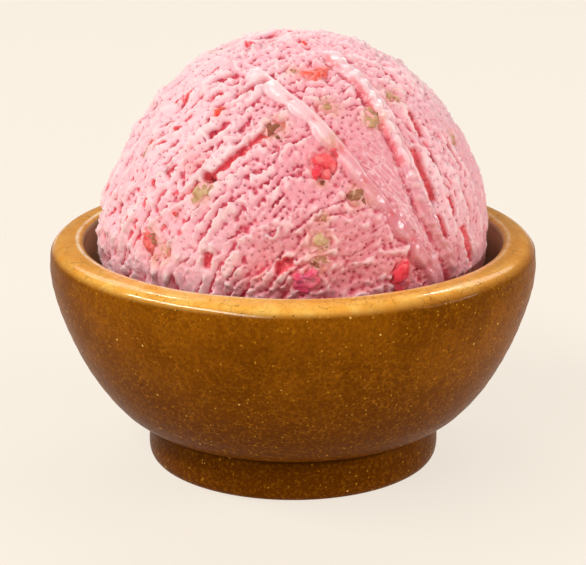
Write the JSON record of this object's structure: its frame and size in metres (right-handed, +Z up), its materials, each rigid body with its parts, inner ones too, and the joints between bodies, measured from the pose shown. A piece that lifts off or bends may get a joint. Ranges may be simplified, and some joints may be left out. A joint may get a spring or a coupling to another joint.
{
  "type": "bowl of ice cream",
  "caption": "Large round scoop of pink ice cream with bits of cherry and pistachio, in a small round footed bowl with a thick rounded lip.",
  "frame": {"origin": "middle of the foot ring's underside, where the bowl's axis meets the table", "axes": "+Z up along the bowl's axis; -Y towards the side shown in the picture; +X to the right in it"},
  "size_m": [0.09, 0.09, 0.0803],
  "materials": {
    "glaze": "caramel brown reactive glaze on stoneware, glossy, finely crackled and speckled, lighter gold on the lip",
    "ice_cream": null,
    "cherry": null,
    "pistachio": null
  },
  "bodies": {
    "root": {"bowl": "glaze", "ice_cream": "ice_cream"}
  },
  "joints": []
}
